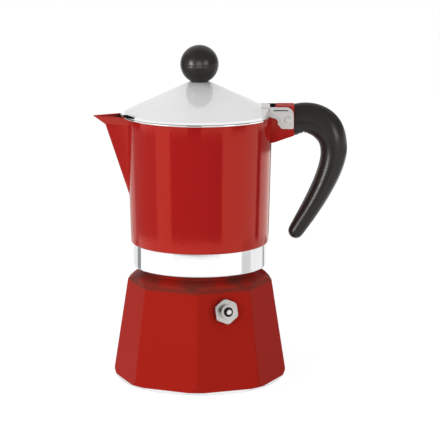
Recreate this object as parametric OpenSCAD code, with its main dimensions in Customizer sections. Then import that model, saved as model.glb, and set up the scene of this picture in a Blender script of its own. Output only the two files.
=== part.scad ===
// Stovetop moka pot: octagonal boiler, screw-on jug with hinged lid, brewing funnel and safety valve.
// Millimetres. +Z is up, the origin is the centre of the base, the spout points to -X, the handle to +X.

/* [Boiler] */
// Radius of the flat base
base_r = 39.4; // [38:0.1:41]
// Height of the rounded foot under the facets
foot_h = 5.2; // [4:0.1:6.5]
// Radius over the corners at the foot
corner_low_r = 43.6; // [43:0.1:45.5]
// Radius over the corners at the shoulder
corner_top_r = 36.6; // [36:0.1:38]
// Height of the shoulder's corners above the base
boiler_h = 50.8; // [46:0.1:60]
// Rise of the sloping shoulder up to the neck
shoulder_rise = 5; // [4.6:0.1:6]
// Turn of the facets from where one upright edge faces -Y, in degrees
facet_turn = -2.1; // [-10:0.1:10]
// Rounding radius of the upright edges
edge_round = 2.5; // [1:0.1:3]
// Wall of the boiler, square to a facet
boiler_wall = 2.6; // [2:0.1:3]
// Thickness of the boiler's floor
boiler_floor = 3.4; // [2.5:0.1:4.5]
// Outer radius of the neck at the root of its thread
neck_r = 28.6; // [28:0.1:29]
// Wall of the neck
neck_wall = 2.3; // [2:0.1:2.6]
// Height of the neck above the shoulder
neck_h = 10.4; // [9.5:0.1:12]

/* [Thread] */
// Rise of the thread in one turn
thread_pitch = 3; // [2.6:0.1:3.4]
// Depth of the thread
thread_depth = 1.3; // [1:0.1:1.4]
// Turns of each thread
thread_turns = 1.75; // [1.25:0.25:2]
// Radial clearance between the two threads
thread_fit = 0.35; // [0.3:0.05:0.5]

/* [Jug] */
// Gap between the shoulder and the lower edge of the band
band_gap = 2.2; // [2:0.1:3]
// Height of the bare metal band
band_h = 12; // [11:0.1:14]
// Outer radius of the band
band_r = 33.5; // [33:0.1:34]
// Rounding radius of the band's lower edge
band_round = 1.2; // [0.6:0.1:2]
// Outer radius of the jug just above the band
jug_low_r = 34.7; // [34.4:0.1:35.4]
// Outer radius of the jug at its rim
jug_top_r = 36.5; // [36:0.1:37]
// Height of the jug from the band to the rim
jug_h = 64.4; // [56:0.1:72]
// Wall of the jug
jug_wall = 2.3; // [2:0.1:2.8]
// Thickness of the jug's floor
floor_t = 3; // [2.5:0.1:3.5]

/* [Spout] */
// Reach of the spout's tip from the pot's axis
spout_reach = 53.4; // [51:0.1:56]
// Half of the spout's opening angle in plan, in degrees
spout_half = 28; // [25:0.5:31]
// Lean of the ridge from the vertical, in degrees
spout_lean = 18.2; // [15:0.1:21]
// Reach of the ridge at rim height, if it had no beak
ridge_reach = 48.7; // [47.5:0.1:49.5]
// Lean of the beak's underside from the vertical, in degrees
beak_lean = 54; // [50:0.5:58]
// Rounding radius of the ridge
ridge_round = 2.2; // [2:0.1:2.6]
// Wall of the spout
spout_wall = 1.6; // [1.4:0.1:1.8]

/* [Lug and hinge] */
// Width of the lug
lug_w = 11; // [10:0.1:12]
// Distance of the hinge pin from the pot's axis
pin_x = 43.9; // [43.5:0.1:44.5]
// Height of the hinge pin below the jug's rim
pin_drop = 1.1; // [0.6:0.1:1.5]
// Radius of the hinge pin
pin_r = 1.5; // [1.2:0.1:1.7]
// Radial running clearance of the pin in the lug
pin_fit = 0.05; // [0.03:0.01:0.08]
// Height of the lug's top above the pin
lug_rise = 6.6; // [6.4:0.1:7]
// Reach of the lug's end face from the pot's axis
lug_reach = 47.3; // [46.9:0.1:48]
// Height of the lug where the handle meets it
lug_end_h = 14.9; // [14:0.1:16]
// Side gap between the lug and each cheek of the lid
cheek_gap = 0.4; // [0.3:0.05:0.6]
// Thickness of a cheek
cheek_t = 1.8; // [1.5:0.1:2.2]

/* [Lid] */
// Radius of the lid at its lip
lid_r = 39.6; // [39.2:0.1:40.4]
// Slope of the lid's cone, in degrees
lid_slope = 24.9; // [23:0.1:26]
// Height of the lip
lip_h = 1.3; // [1.2:0.1:2]
// Inner radius of the lip
lip_inner_r = 35.4; // [34.6:0.1:35.8]
// Wall of the lid
lid_t = 1.2; // [1:0.1:1.5]
// Running gap between the lip and the jug's rim
lid_gap = 0.3; // [0.2:0.05:0.5]
// Radius of the flat under the knob
crown_r = 5; // [4.8:0.1:6]

/* [Knob] */
// Diameter of the knob's ball
knob_d = 19.2; // [17:0.1:21]
// Radius of the knob's foot
knob_foot_r = 4.6; // [4:0.1:4.8]
// Radius of the knob's screw
knob_screw_r = 2; // [1.5:0.1:2.4]
// Length of the knob's screw in the knob
knob_screw_l = 9; // [7:0.5:11]

/* [Handle] */
// Depth of the handle at the lug
handle_root = 15.6; // [15:0.1:16.2]
// Depth of the handle at its outermost point
handle_mid = 13.4; // [12:0.1:14.5]
// Depth of the handle near its tip
handle_tip = 7.8; // [7:0.1:8.6]
// Width of the handle between the lid's cheeks
handle_root_w = 11; // [10:0.1:11.6]
// Width of the handle at the grip
handle_grip_w = 15; // [13:0.1:17]
// Reach of the handle's centre line from the pot's axis
handle_reach = 67.5; // [65:0.1:70]
// Height of the handle's tip centre above the base
handle_tip_z = 75.6; // [72:0.5:80]
// Distance of the handle's tip centre from the pot's axis
handle_tip_x = 48.6; // [46.5:0.1:50]
// Height of the hinge pin above the handle's outermost point
handle_drop = 16.4; // [15:0.1:17.5]
// Radius of the handle's screw
handle_screw_r = 1.75; // [1.5:0.05:2]

/* [Brewing parts] */
// Inner radius of the coffee basket
basket_r = 24.7; // [24:0.1:25]
// Depth of the coffee basket
basket_depth = 17.5; // [15:0.5:19]
// Wall of the funnel
funnel_t = 0.8; // [0.6:0.05:1]
// Outer radius of the funnel's tube
tube_r = 4.3; // [4:0.1:5]
// Gap between the tube's end and the boiler's floor
tube_gap = 4.5; // [3.5:0.5:7]
// Thickness of the gasket
gasket_t = 2.8; // [2.6:0.1:3.4]
// Inner radius of the gasket
gasket_in_r = 25; // [24.6:0.1:25.4]
// Thickness of the perforated plates
plate_t = 0.8; // [0.6:0.05:1]
// Radius of a hole in the perforated plates
hole_r = 0.75; // [0.6:0.05:0.9]
// Distance between the rings of holes
hole_step = 4.4; // [4:0.1:4.6]
// Rings of holes around the centre hole
hole_rings = 5; // [3:1:5]
// Outer radius of the riser column at its foot
riser_low_r = 7.6; // [7:0.1:9]
// Outer radius of the riser column at its top
riser_top_r = 4.8; // [4.6:0.1:5.4]
// Height of the riser column above the jug's floor
riser_h = 50; // [40:0.5:52]
// Radius of the passage through the riser column
riser_bore_r = 3.2; // [2.8:0.1:3.6]
// Width of the outlets at the column's top
outlet_w = 3; // [2:0.1:3.5]

/* [Safety valve] */
// Height of the valve's axis where it leaves the facet
valve_z = 41.4; // [36:0.1:43]
// Width across the flats of the hexagon
hex_af = 11.4; // [10.8:0.1:12.5]
// Thickness of the hexagon
hex_h = 3.2; // [2.8:0.1:4]
// Turn of the hexagon, in degrees
hex_turn = 6; // [0:1:60]
// Radius of the valve's threaded shank
shank_r = 3.9; // [3.6:0.1:4.2]
// Radius of the collar around the valve's mouth
collar_r = 3.6; // [3.3:0.1:4]
// Height of that collar
collar_h = 2.4; // [2:0.1:2.8]
// Radius of the valve's bore
valve_bore_r = 2.3; // [2.2:0.05:2.5]
// Radius of the valve's pin
valve_pin_r = 1.3; // [1.2:0.05:1.35]
// How far the pin stands out of the collar
pin_out = 1.4; // [1:0.1:1.8]
// Travel of the plunger when the valve opens
valve_travel = 1.6; // [1.2:0.1:1.8]
// Diameter of the spring's wire
wire_d = 0.45; // [0.4:0.05:0.5]
// Turns of the spring
spring_turns = 5; // [4:1:5]

/* [Hidden] */
$fn = 96;
facets = 8;
big = 200; // longer than anything in the pot
eps = 0.01; // overlap that makes a cut run through a face
press = 0.02; // radial gap of parts that are pressed together
half_facet = 180 / facets;
front_az = -90; // direction of -Y, which an upright edge faces

// heights, from the base upwards
neck_z = boiler_h + shoulder_rise;
neck_top_z = neck_z + neck_h;
band_z = neck_z + band_gap;
jug_z = band_z + band_h;
rim_z = jug_z + jug_h;
funnel_rim_z = neck_top_z + funnel_t;
seat_z = funnel_rim_z + gasket_t;
floor_z = seat_z + floor_t;
pin_z = rim_z - pin_drop;
lug_z = pin_z + lug_rise;
lid_z = rim_z + lid_gap;
lip_z = lid_z + lip_h;
lid_tan = tan(lid_slope);
lip_cone_r = lid_r - 0.8; // where the cone ends and the lip's rounding starts
crown_z = lip_z + (lip_cone_r - crown_r) * lid_tan;
knob_z = crown_z + sqrt(pow(knob_d / 2, 2) - pow(knob_foot_r, 2)) + 0.3;

// tilt of the facets and of the edges between them
facet_run = (corner_low_r - corner_top_r) * cos(half_facet);
facet_tilt = atan(facet_run / (boiler_h - foot_h));
edge_tilt = atan((corner_low_r - corner_top_r) / (boiler_h - foot_h));
edge_half = acos(pow(cos(facet_tilt), 2) * cos(2 * half_facet) + pow(sin(facet_tilt), 2)) / 2;
function corner_r(z) = corner_low_r - (z - foot_h) * (corner_low_r - corner_top_r) / (boiler_h - foot_h);
function flat_r(z) = corner_r(z) * cos(half_facet);

// threads
bore_r = neck_r + thread_depth + thread_fit;
thread_z = neck_z + 3.4;
thread_steps = 40; // flat faces in one turn of a thread
flank = 0.65; // half of the thread's width at its root
crest = 0.3; // half of the thread's width at its crest

// brewing parts
neck_in_r = neck_r - neck_wall;
basket_out_r = basket_r + funnel_t;
basket_z = funnel_rim_z - basket_depth;
cone_h = 6; // fall of the funnel's cone from the basket to the tube
tube_top_z = basket_z - cone_h;
tube_low_z = boiler_floor + tube_gap;
gasket_out_r = bore_r - 0.2;
ledge = 2.4; // width of the ledge in the gasket that carries the filter plate
filter_r = gasket_in_r + ledge;
recess_h = 1.2; // hollow under the jug's floor that gathers the coffee

// lug and lid
cheek_in = lug_w / 2 + cheek_gap;
cheek_out = cheek_in + cheek_t;
tab_z = lug_z - 0.4;
swing_r = 9.2; // radius about the pin that the lid keeps clear
slot_x = pin_x - swing_r + 0.3;
tab_x = pin_x - 8.6;
tang_w = 5.2;
tang_h = 9.6;
tang_l = 9.5;
tang_fit = 0.15;
tang_z = pin_z - 0.2;
handle_screw_x = lug_reach + 4.8;
screw_head_r = 3;
screw_head_h = 2;
screw_sunk = 0.6; // depth of the screw's head under the handle's surface
handle_lift = 1; // rise of the handle's underside from the lug to its screw

// valve, along its own axis from the facet outwards
valve_az = front_az + half_facet + facet_turn;
washer_t = 0.7;
hex_low = washer_t;
hex_top = hex_low + hex_h;
collar_top = hex_top + collar_h;
shank_low = -boiler_wall - 3.2;
port_r = 1.7; // hole at the inner end that the seal closes
port_t = 0.9;
seal_t = 0.6;
seal_low = shank_low + port_t;
piston_low = seal_low + seal_t;
piston_h = 1.2;
piston_r = valve_bore_r - 0.08;
bush_t = 1;
bush_top = collar_top - 2.1;
bush_low = bush_top - bush_t;
spring_low = piston_low + piston_h;
wire_r = wire_d / 2;
spring_r = valve_bore_r - wire_r - 0.15;

// ---------- shared shapes ----------

// arc of points around a centre, from angle a0 to a1
function arc(c, r, a0, a1, n = 8) = [for (i = [0:n]) let (a = a0 + (a1 - a0) * i / n) c + r * [cos(a), sin(a)]];

// one thread as a swept ridge: root and crest radii, start height
module thread_ridge(root, top, z0) {
    n = floor(thread_steps * thread_turns);
    lead = 6; // steps over which the ridge fades in and out
    function fade(i) = min(1, (i + 0.6) / lead, (n - i + 0.6) / lead);
    function tip(i) = root + (top - root) * fade(i);
    function ring(i) =
        let (a = i * 360 / thread_steps, z = z0 + thread_pitch * a / 360, c = cos(a), s = sin(a))
        [[root * c, root * s, z - flank], [tip(i) * c, tip(i) * s, z - crest],
         [tip(i) * c, tip(i) * s, z + crest], [root * c, root * s, z + flank]];
    pts = [for (i = [0:n]) each ring(i)];
    sides = [for (i = [0:n - 1], k = [0:3]) each
        let (a = 4 * i + k, b = 4 * i + (k + 1) % 4) [[a, b, b + 4], [a, b + 4, a + 4]]];
    ends = [[0, 2, 1], [0, 3, 2], [4 * n, 4 * n + 1, 4 * n + 2], [4 * n, 4 * n + 2, 4 * n + 3]];
    faces = concat(sides, ends);
    flipped = [for (f = faces) [f[0], f[2], f[1]]];
    polyhedron(points = pts, faces = top > root ? faces : flipped, convexity = 10);
}

// bolt-like screw pointing up: head below z = 0, shank above
module screw(r, l, head_r, head_h) {
    slot = 0.9;
    difference() {
        union() {
            translate([0, 0, -head_h]) cylinder(r = r, h = head_h + l);
            translate([0, 0, -head_h]) cylinder(r = head_r, h = head_h);
        }
        translate([-slot / 2, -head_r - 1, -head_h - 1]) cube([slot, 2 * head_r + 2, 1 + head_h / 2]);
    }
}

// holes on rings around the centre
module sieve_holes(z, t) {
    for (k = [1:hole_rings], i = [0:6 * k - 1])
        rotate([0, 0, i * 60 / k]) translate([k * hole_step, 0, z - 1])
            cylinder(r = hole_r, h = t + 2, $fn = 24);
    translate([0, 0, z - 1]) cylinder(r = hole_r, h = t + 2, $fn = 24);
}

// ---------- boiler ----------

// pyramid of flat facets, moved inwards by a wall
module facet_pyramid(inset) {
    intersection_for (k = [0:facets - 1])
        rotate([0, 0, valve_az + 2 * half_facet * k])
            translate([flat_r(0) - inset / cos(facet_tilt), 0, 0]) rotate([0, -facet_tilt, 0])
                translate([-big, -big, -big / 2]) cube([big, 2 * big, big]);
}

// outline of the boiler turned about the axis, which trims the pyramid's foot and shoulder
module boiler_envelope() {
    foot_r = corner_low_r - base_r;
    rotate_extrude() polygon(concat([[0, 0], [base_r, 0]],
        [for (i = [1:5]) [base_r + foot_r * sin(18 * i), foot_h * (1 - cos(18 * i))]],
        [[corner_low_r + 1, foot_h + 2], [corner_top_r + 1, boiler_h - 3], [corner_top_r, boiler_h - 0.6],
         [corner_top_r - 1.2, boiler_h + 1.2], [corner_top_r - 3, boiler_h + 2.7],
         [neck_r + 1.2, neck_z - 0.7], [neck_r, neck_z], [0, neck_z]]));
}

// wedge that turns one upright edge into a rounding
module edge_trim() {
    apex = edge_round / cos(edge_half);
    tip_x = edge_round * cos(edge_half);
    tip_y = edge_round * sin(edge_half);
    translate([corner_r(0), 0, 0]) rotate([0, -edge_tilt, 0]) translate([-apex, 0, -10])
        linear_extrude(boiler_h + 25) difference() {
            polygon([[tip_x, tip_y], [tip_x + 4, tip_y + 4], [apex + 5, 0],
                     [tip_x + 4, -tip_y - 4], [tip_x, -tip_y]]);
            circle(r = edge_round);
        }
}

module boiler_shell() {
    difference() {
        intersection() {
            facet_pyramid(0);
            boiler_envelope();
        }
        for (k = [0:facets - 1]) rotate([0, 0, valve_az + half_facet + 2 * half_facet * k]) edge_trim();
    }
}

module boiler() color("firebrick") {
    hollow_low_r = flat_r(boiler_floor) - boiler_wall - 1.5;
    hollow_top_r = flat_r(boiler_h) - boiler_wall;
    difference() {
        union() {
            boiler_shell();
            translate([0, 0, neck_z - 1]) cylinder(r = neck_r, h = neck_h + 1);
            thread_ridge(neck_r - 0.4, neck_r + thread_depth, thread_z);
        }
        rotate_extrude() polygon([[0, boiler_floor], [hollow_low_r - 3, boiler_floor],
            [hollow_low_r, boiler_floor + 3], [hollow_top_r, boiler_h - 3],
            [neck_in_r, neck_z - 2], [neck_in_r, neck_top_z + 1], [0, neck_top_z + 1]]);
        valve_place() translate([0, 0, -big / 8]) cylinder(r = shank_r + press, h = big / 4);
        translate([0, 0, -1]) rotate_extrude()
            polygon([[base_r - 7, 0], [base_r - 6, 1.4], [base_r - 5, 1.4], [base_r - 4, 0]]);
    }
}

// ---------- safety valve ----------

// frame of the valve: origin on the facet, +Z along the outward normal
module valve_place() {
    rotate([0, 0, valve_az]) translate([flat_r(valve_z), 0, valve_z]) rotate([0, 90 - facet_tilt, 0])
        rotate([0, 0, hex_turn]) children();
}

module valve_body() color("gainsboro") valve_place() {
    corner = hex_af / 2 / cos(30);
    difference() {
        union() {
            intersection() {
                translate([0, 0, hex_low]) cylinder(r = corner, h = hex_h, $fn = 6);
                translate([0, 0, hex_low])
                    cylinder(r1 = corner + hex_h + 0.2, r2 = corner - 0.6, h = hex_h, $fn = 64);
                translate([0, 0, hex_low]) cylinder(r = corner - 0.25, h = hex_h, $fn = 64);
            }
            translate([0, 0, hex_top - eps]) cylinder(r = collar_r, h = collar_h + eps);
            translate([0, 0, shank_low]) cylinder(r = shank_r, h = hex_low - shank_low + eps);
        }
        translate([0, 0, seal_low]) cylinder(r = valve_bore_r, h = collar_top - seal_low + 1);
        translate([0, 0, shank_low - 1]) cylinder(r = port_r, h = port_t + 2);
    }
}

module valve_washer() color("dimgray") valve_place()
    difference() {
        cylinder(r = hex_af / 2, h = washer_t);
        translate([0, 0, -1]) cylinder(r = shank_r + 0.1, h = washer_t + 2);
    }

module valve_seal() color("black") valve_place()
    translate([0, 0, seal_low]) cylinder(r = piston_r, h = seal_t);

module valve_plunger() color("silver") valve_place() {
    translate([0, 0, piston_low]) cylinder(r = piston_r, h = piston_h);
    pin_top = collar_top + pin_out;
    translate([0, 0, spring_low - eps]) cylinder(r = valve_pin_r, h = pin_top - 0.3 - spring_low + eps);
    translate([0, 0, pin_top - 0.3 - eps]) cylinder(r1 = valve_pin_r, r2 = valve_pin_r - 0.3, h = 0.3);
}

module valve_bush() color("silver") valve_place()
    difference() {
        translate([0, 0, bush_low]) cylinder(r = valve_bore_r - press, h = bush_t);
        translate([0, 0, bush_low - 1]) cylinder(r = valve_pin_r + 0.08, h = bush_t + 2);
    }

// coil between the piston and the bush
module valve_spring() {
    sides = 6;
    per_turn = 16;
    n = per_turn * spring_turns;
    z0 = spring_low + wire_r + 0.05;
    rise = bush_low - wire_r - 0.05 - z0;
    function knot(i, k) =
        let (a = i * 360 / per_turn, b = k * 360 / sides, r = spring_r + wire_r * cos(b))
        [r * cos(a), r * sin(a), z0 + rise * i / n + wire_r * sin(b)];
    pts = [for (i = [0:n], k = [0:sides - 1]) knot(i, k)];
    skin = [for (i = [0:n - 1], k = [0:sides - 1]) each
        let (a = sides * i + k, b = sides * i + (k + 1) % sides)
        [[a, b, b + sides], [a, b + sides, a + sides]]];
    low = [[for (k = [0:sides - 1]) sides - 1 - k]];
    high = [[for (k = [0:sides - 1]) sides * n + k]];
    color("silver") valve_place() polyhedron(points = pts, faces = concat(skin, low, high), convexity = 10);
}

// ---------- funnel, gasket and filter ----------

module funnel_cup() color("lightgray")
    rotate_extrude() polygon([[tube_r + press, tube_top_z], [tube_r + press + funnel_t, tube_top_z],
        [basket_out_r, basket_z], [basket_out_r, neck_top_z], [neck_r - 0.2, neck_top_z],
        [neck_r - 0.2, funnel_rim_z], [basket_r, funnel_rim_z], [basket_r, basket_z + 0.2],
        [tube_r + press, tube_top_z + funnel_t + 1]]);

module funnel_tube() color("lightgray")
    difference() {
        translate([0, 0, tube_low_z]) cylinder(r = tube_r, h = tube_top_z + 1.5 - tube_low_z);
        translate([0, 0, tube_low_z - 1]) cylinder(r = tube_r - funnel_t, h = big);
        translate([0, 0, tube_low_z]) rotate([0, 45, 0]) cube([2, big, 2], center = true);
    }

module funnel_plate() color("silver")
    difference() {
        translate([0, 0, basket_z + 0.4]) cylinder(r = basket_r - press, h = plate_t);
        sieve_holes(basket_z + 0.4, plate_t);
    }

module gasket() color("white")
    rotate_extrude() polygon([[gasket_in_r, funnel_rim_z], [gasket_out_r, funnel_rim_z],
        [gasket_out_r, seat_z], [filter_r + press, seat_z], [filter_r + press, seat_z - plate_t],
        [gasket_in_r, seat_z - plate_t]]);

module filter_plate() color("silver")
    difference() {
        translate([0, 0, seat_z - plate_t]) cylinder(r = filter_r, h = plate_t);
        sieve_holes(seat_z - plate_t, plate_t);
    }

// ---------- jug ----------

function jug_r(z) = jug_low_r + (jug_top_r - jug_low_r) * (z - jug_z) / jug_h;

// V with a rounded nose, its point towards +X
module nose_shape(half, r) {
    reach = 34;
    touch = r * [sin(half), cos(half)];
    far = touch + reach * [-cos(half), sin(half)];
    circle(r = r);
    polygon([touch, far, [far[0], -far[1]], [touch[0], -touch[1]]]);
}

// leaning V whose nose reaches a given distance at rim height
module leaning_v(reach, lean, wall) {
    half = atan(tan(spout_half) / cos(lean));
    translate([reach - ridge_round / cos(lean), 0, rim_z]) rotate([0, lean, 0]) translate([0, 0, -big / 2])
        linear_extrude(big) nose_shape(half, ridge_round - wall);
}

module spout(wall) {
    beak_h = (spout_reach - ridge_reach) / (tan(beak_lean) - tan(spout_lean)) + 0.6;
    rotate([0, 0, 180]) {
        intersection() {
            leaning_v(ridge_reach, spout_lean, wall);
            translate([0, -big / 2, jug_z + 8]) cube([big, big, rim_z - jug_z - 8 + (wall > 0 ? 1 : 0)]);
        }
        intersection() {
            leaning_v(spout_reach, beak_lean, wall);
            translate([20, -big / 2, rim_z - beak_h]) cube([big, big, beak_h + (wall > 0 ? 1 : 0)]);
        }
    }
}

// cast lug that carries the lid and the handle
module lug() {
    low_z = lug_z - lug_end_h;
    rotate([90, 0, 0]) linear_extrude(lug_w, center = true)
        polygon(concat([[jug_top_r - 1.6, low_z - 3.9], [jug_top_r + 1, low_z - 3.4],
            [lug_reach, low_z], [lug_reach, lug_z]], arc([pin_x - 4.8, lug_z - 1], 1, 90, 180, 4),
            [[pin_x - 7.4, rim_z + 1], [pin_x - 7.8, rim_z], [jug_top_r - 1.6, rim_z]]));
    translate([lug_reach - eps, -tang_w / 2, tang_z - tang_h / 2]) cube([tang_l, tang_w, tang_h]);
}

module collector() color("firebrick") {
    in_low_r = jug_low_r - jug_wall;
    in_top_r = jug_top_r - jug_wall;
    difference() {
        union() {
            rotate_extrude() polygon(concat([[0, seat_z], [bore_r, band_z]],
                arc([band_r - band_round, band_z + band_round], band_round, -90, 0, 6), [[band_r, jug_z]],
                arc([jug_low_r - 1.2, jug_z + 1.2], 1.2, -90, 0, 5), [[jug_top_r, rim_z], [0, rim_z]]));
            spout(0);
            lug();
        }
        translate([0, 0, floor_z]) rotate_extrude() polygon(concat([[0, 0]],
            arc([in_low_r - 3, 3], 3, -90, 0, 6), [[in_top_r, rim_z - floor_z],
            [in_top_r, rim_z - floor_z + 9], [0, rim_z - floor_z + 9]]));
        intersection() {
            spout(spout_wall);
            translate([-big, -big / 2, jug_z + 14]) cube([big, big, big]);
        }
        translate([0, 0, band_z - 1]) cylinder(r = bore_r, h = seat_z - band_z + 1);
        translate([0, 0, seat_z - 1]) cylinder(r = riser_low_r - 1.6, h = floor_t + 2);
        translate([0, 0, seat_z - eps]) cylinder(r1 = gasket_in_r - 1, r2 = riser_low_r, h = recess_h);
        translate([pin_x, 0, pin_z]) rotate([90, 0, 0])
            cylinder(r = pin_r + pin_fit, h = lug_w + 2, center = true);
        translate([handle_screw_x, 0, 0]) cylinder(r = handle_screw_r + 0.05, h = big);
    }
    thread_ridge(bore_r + 0.4, neck_r + thread_fit, thread_z + thread_pitch / 2);
}

module riser_column() color("lightgray") {
    spigot_r = riser_low_r - 1.6 - press;
    top_z = floor_z + riser_h;
    difference() {
        union() {
            translate([0, 0, seat_z + recess_h]) cylinder(r = spigot_r, h = floor_t - recess_h + 1);
            rotate_extrude() polygon([[0, floor_z], [riser_low_r, floor_z], [riser_low_r, floor_z + 1.5],
                [riser_low_r - 1.2, floor_z + 5], [riser_top_r, top_z - 4], [riser_top_r - 0.6, top_z - 1.5],
                [riser_top_r - 2.2, top_z - 0.2], [0, top_z]]);
        }
        translate([0, 0, seat_z - 1]) cylinder(r = riser_bore_r, h = top_z - 3 - seat_z);
        translate([0, 0, top_z - 6.5]) cube([big, outlet_w, 5], center = true);
    }
}

// ---------- lid ----------

// outline of one cheek, seen from the side
module cheek_outline() {
    polygon(concat([[slot_x, lid_z], [slot_x, tab_z], [pin_x + 0.4, tab_z], [pin_x + 3, tab_z - 2.5]],
        arc([pin_x + 2.2, pin_z - 3.6], 0.8, 0, -90, 4), arc([pin_x - 2.4, pin_z - 3.4], 1, -90, -150, 4),
        arc([pin_x - 6.9, pin_z - 1.4], 2.2, -20, 85, 6)));
}

module lid() color("gainsboro") {
    lid_inner_z = lip_z - 0.4 + (lip_cone_r - lip_inner_r) * lid_tan - lid_t;
    difference() {
        union() {
            difference() {
                rotate_extrude() polygon(concat([[0, crown_z], [crown_r, crown_z], [lip_cone_r, lip_z]],
                    arc([lid_r - 0.5, lip_z - 0.6], 0.5, 70, 0, 4),
                    arc([lid_r - 0.5, lid_z + 0.5], 0.5, 0, -90, 4),
                    [[lip_inner_r, lid_z], [lip_inner_r, lid_inner_z],
                     [crown_r - 0.4, crown_z - lid_t], [0, crown_z - lid_t]]));
                translate([slot_x, -cheek_out, lid_z - 5]) cube([20, 2 * cheek_out, 20]);
            }
            translate([tab_x - 6.5, -cheek_out, tab_z - lid_t]) cube([6.5, 2 * cheek_out, lid_t]);
            for (side = [-1, 1]) translate([0, side * (cheek_in + cheek_t / 2), 0])
                rotate([90, 0, 0]) linear_extrude(cheek_t, center = true) cheek_outline();
        }
        translate([pin_x, 0, pin_z]) rotate([90, 0, 0]) cylinder(r = pin_r + press, h = 40, center = true);
        cylinder(r = knob_screw_r + 0.2, h = big);
    }
}

module hinge_pin() color("silver") {
    head_t = 0.4;
    translate([pin_x, 0, pin_z]) rotate([90, 0, 0]) {
        cylinder(r = pin_r, h = 2 * cheek_out, center = true);
        for (side = [0, 1]) mirror([0, 0, side]) translate([0, 0, cheek_out])
            cylinder(r1 = pin_r + 0.3, r2 = pin_r - 0.2, h = head_t);
    }
}

module knob() color("#2b2a28")
    difference() {
        union() {
            translate([0, 0, knob_z]) sphere(d = knob_d);
            translate([0, 0, crown_z]) cylinder(r = knob_foot_r, h = knob_d / 6);
        }
        translate([0, 0, crown_z - knob_d]) cylinder(r = knob_d, h = knob_d);
        translate([0, 0, crown_z - 1]) cylinder(r = knob_screw_r + 0.05, h = knob_screw_l + 1.4);
    }

module knob_washer() color("silver")
    difference() {
        translate([0, 0, crown_z - lid_t - 0.8]) cylinder(r = crown_r - 0.8, h = 0.8);
        cylinder(r = knob_screw_r + 0.1, h = big);
    }

module knob_screw() color("silver")
    translate([0, 0, crown_z - lid_t - 0.8]) screw(knob_screw_r, knob_screw_l + lid_t + 0.8, 3.6, 1.8);

// ---------- handle ----------

// centre line: two cubic curves that meet at the outermost point
mid_z = pin_z - handle_drop;
handle_top_z = lug_z - handle_root / 2;
handle_run = handle_reach - lug_reach;
handle_fall = mid_z - handle_tip_z;
handle_back = handle_reach - handle_tip_x;
curve_a = [[lug_reach - 1, handle_top_z], [lug_reach + 0.614 * handle_run, handle_top_z + 0.268 * handle_root],
           [handle_reach, mid_z + 0.67 * handle_drop], [handle_reach, mid_z]];
curve_b = [[handle_reach, mid_z], [handle_reach, mid_z - 0.287 * handle_fall],
           [handle_reach - 0.7 * handle_back, handle_tip_z + 0.221 * handle_fall], [handle_tip_x, handle_tip_z]];
function bezier(c, t) =
    pow(1 - t, 3) * c[0] + 3 * t * pow(1 - t, 2) * c[1] + 3 * t * t * (1 - t) * c[2] + pow(t, 3) * c[3];
function bezier_dir(c, t) =
    3 * pow(1 - t, 2) * (c[1] - c[0]) + 6 * t * (1 - t) * (c[2] - c[1]) + 3 * t * t * (c[3] - c[2]);
function line_at(s) = s < 0.5 ? bezier(curve_a, 2 * s) : bezier(curve_b, 2 * s - 1);
function dir_at(s) =
    let (d = s < 0.5 ? bezier_dir(curve_a, 2 * s) : bezier_dir(curve_b, 2 * s - 1)) d / norm(d);
function depth_at(s) = s < 0.25 ? handle_root + 0.4 * sin(360 * s)
    : s < 0.5 ? handle_root + 0.4 - (handle_root + 0.4 - handle_mid) * (1 - cos(720 * (s - 0.25))) / 2
    : handle_mid + (handle_tip - handle_mid) * (2 * s - 1);
function ease(t) = t <= 0 ? 0 : t >= 1 ? 1 : t * t * (3 - 2 * t);
function width_at(s) = s < 0.75 ? handle_root_w + (handle_grip_w - handle_root_w) * ease((s - 0.12) / 0.3)
    : handle_grip_w - (handle_grip_w - handle_tip - 2) * ease((s - 0.75) / 0.25);

module handle_body() {
    sides = 24;
    steps = 30;
    cap = 5; // rings that round off the tip
    full = 2.5; // exponent of the section: 2 is an oval, more is fuller towards the corners
    function squared(a) = 1 / pow(pow(abs(cos(a)), full) + pow(abs(sin(a)), full), 1 / full);
    function ring(p, d, h, w) = [for (k = [0:sides - 1])
        let (a = k * 360 / sides, q = squared(a))
        [p[0] - d[1] * h / 2 * q * cos(a), w / 2 * q * sin(a), p[1] + d[0] * h / 2 * q * cos(a)]];
    behind = 3.5; // start of the sweep inside the lug, so that the cut end is whole
    root = [ring(line_at(0) - behind * dir_at(0), dir_at(0), depth_at(0), width_at(0))];
    body = [for (i = [0:steps]) let (s = i / steps)
        ring(line_at(s), dir_at(s), depth_at(s), width_at(s))];
    tip = [for (i = [1:cap]) let (b = 84 * i / cap, e = dir_at(1))
        ring(line_at(1) + e * handle_tip / 2 * sin(b), e, handle_tip * cos(b), (handle_tip + 2) * cos(b))];
    rings = concat(root, body, tip);
    last = len(rings) - 1;
    pts = [for (r = rings) each r];
    skin = [for (i = [0:last - 1], k = [0:sides - 1]) each
        let (a = sides * i + k, b = sides * i + (k + 1) % sides)
        [[a, b + sides, b], [a, a + sides, b + sides]]];
    front = [[for (k = [0:sides - 1]) k]];
    back = [[for (k = [0:sides - 1]) sides * last + sides - 1 - k]];
    polyhedron(points = pts, faces = concat(skin, front, back), convexity = 6);
}

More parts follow.
